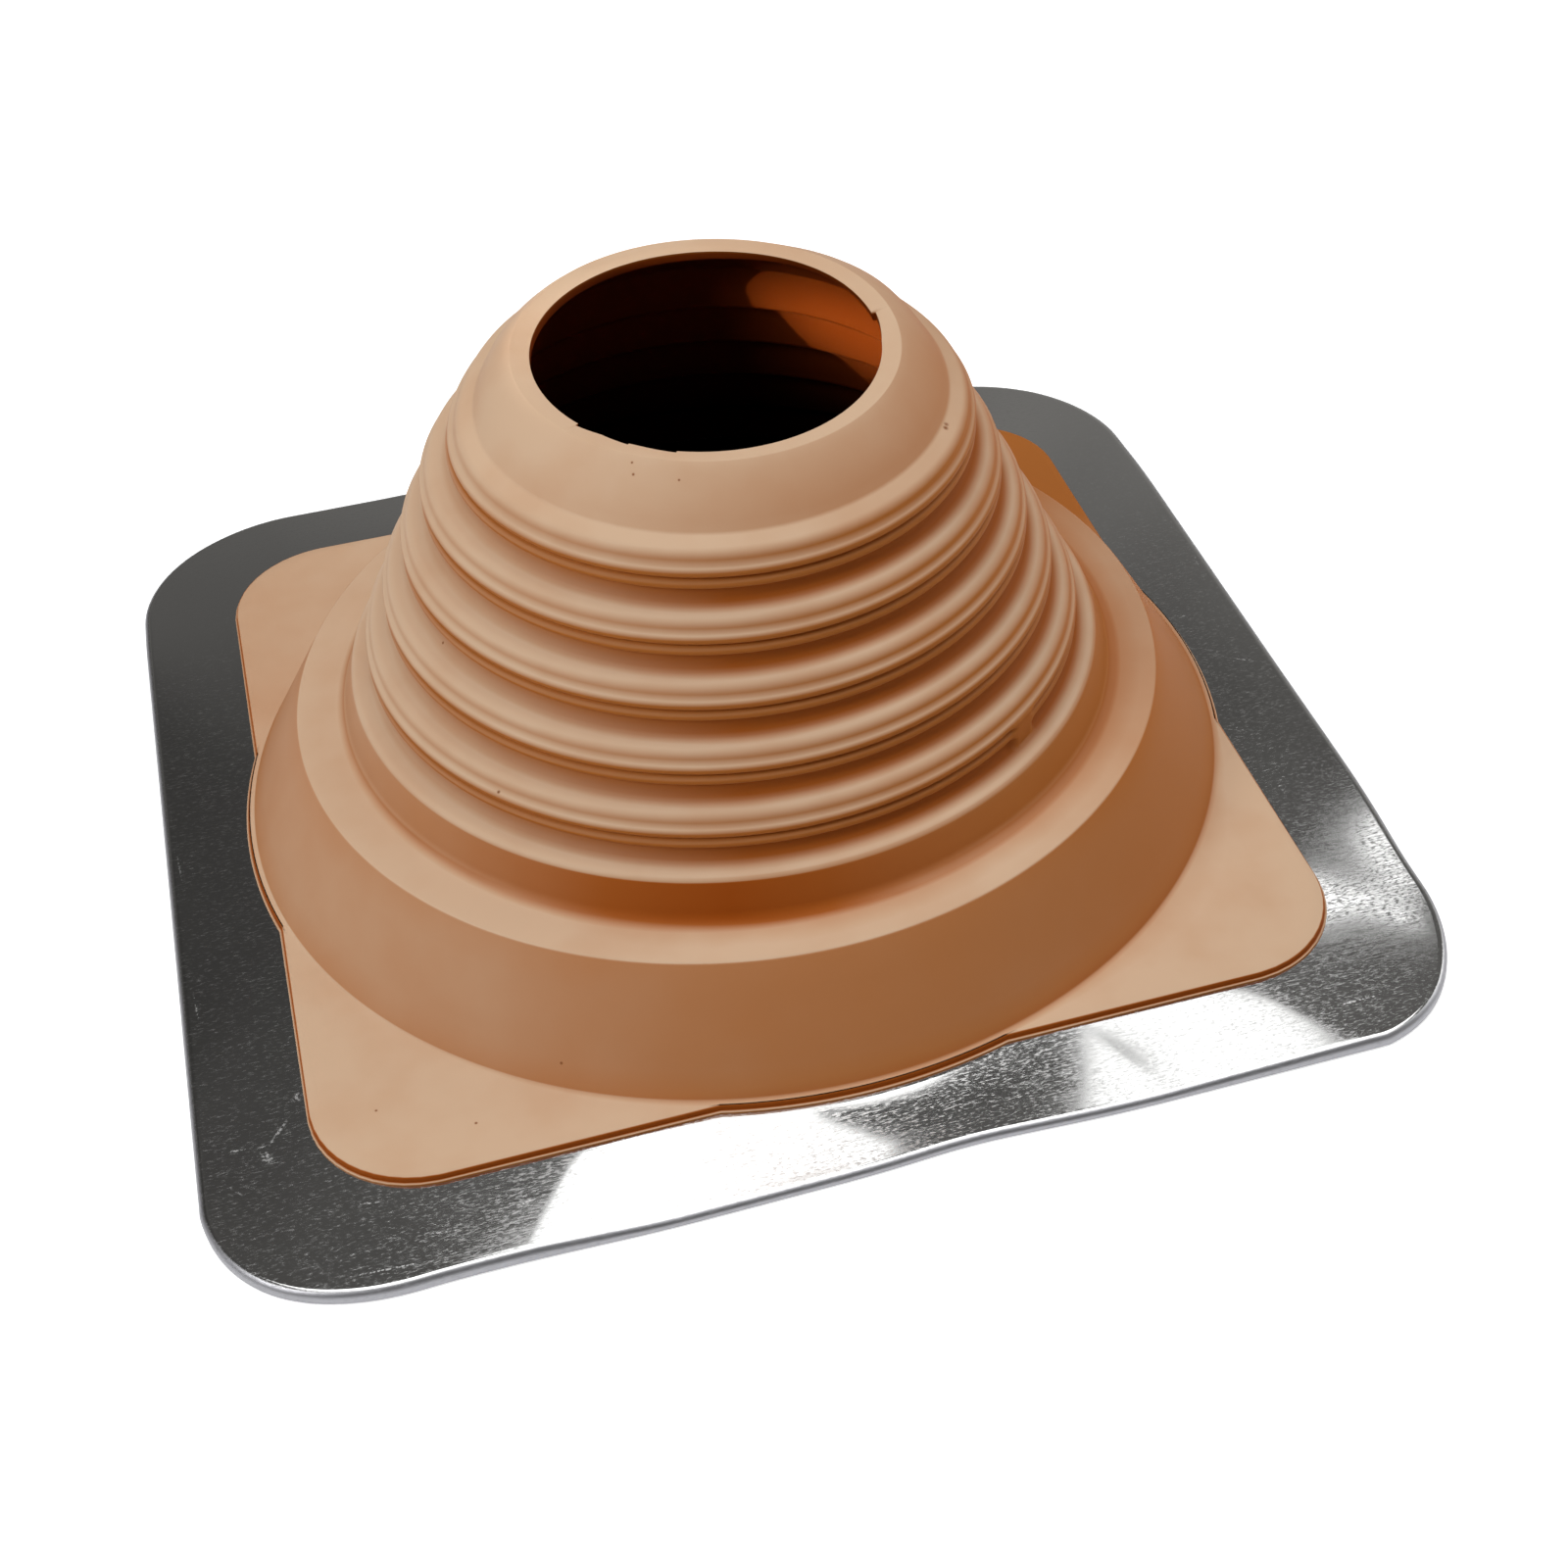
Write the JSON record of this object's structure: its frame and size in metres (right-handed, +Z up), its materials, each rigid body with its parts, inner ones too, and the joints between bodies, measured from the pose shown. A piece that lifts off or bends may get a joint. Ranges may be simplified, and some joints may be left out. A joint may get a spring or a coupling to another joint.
{
  "type": "pipe flashing boot",
  "caption": "Stepped rubber cone with ringed cut guides, moulded onto a square soft-aluminium base sheet, for sealing a pipe where it passes through a roof.",
  "frame": {"origin": "centre of the square base on its resting plane, on the cone's axis", "axes": "+Z up along the cone's axis and out of the pipe opening; X and Y along the sides of the square base"},
  "size_m": [0.28, 0.28, 0.1209],
  "materials": {
    "rubber_boot": "matt moulded silicone rubber, tan brown",
    "aluminium_base": "rolled soft sheet, bare, with handling marks"
  },
  "bodies": {
    "root": {"rubber_boot": "rubber_boot", "aluminium_base": "aluminium_base"}
  },
  "joints": []
}
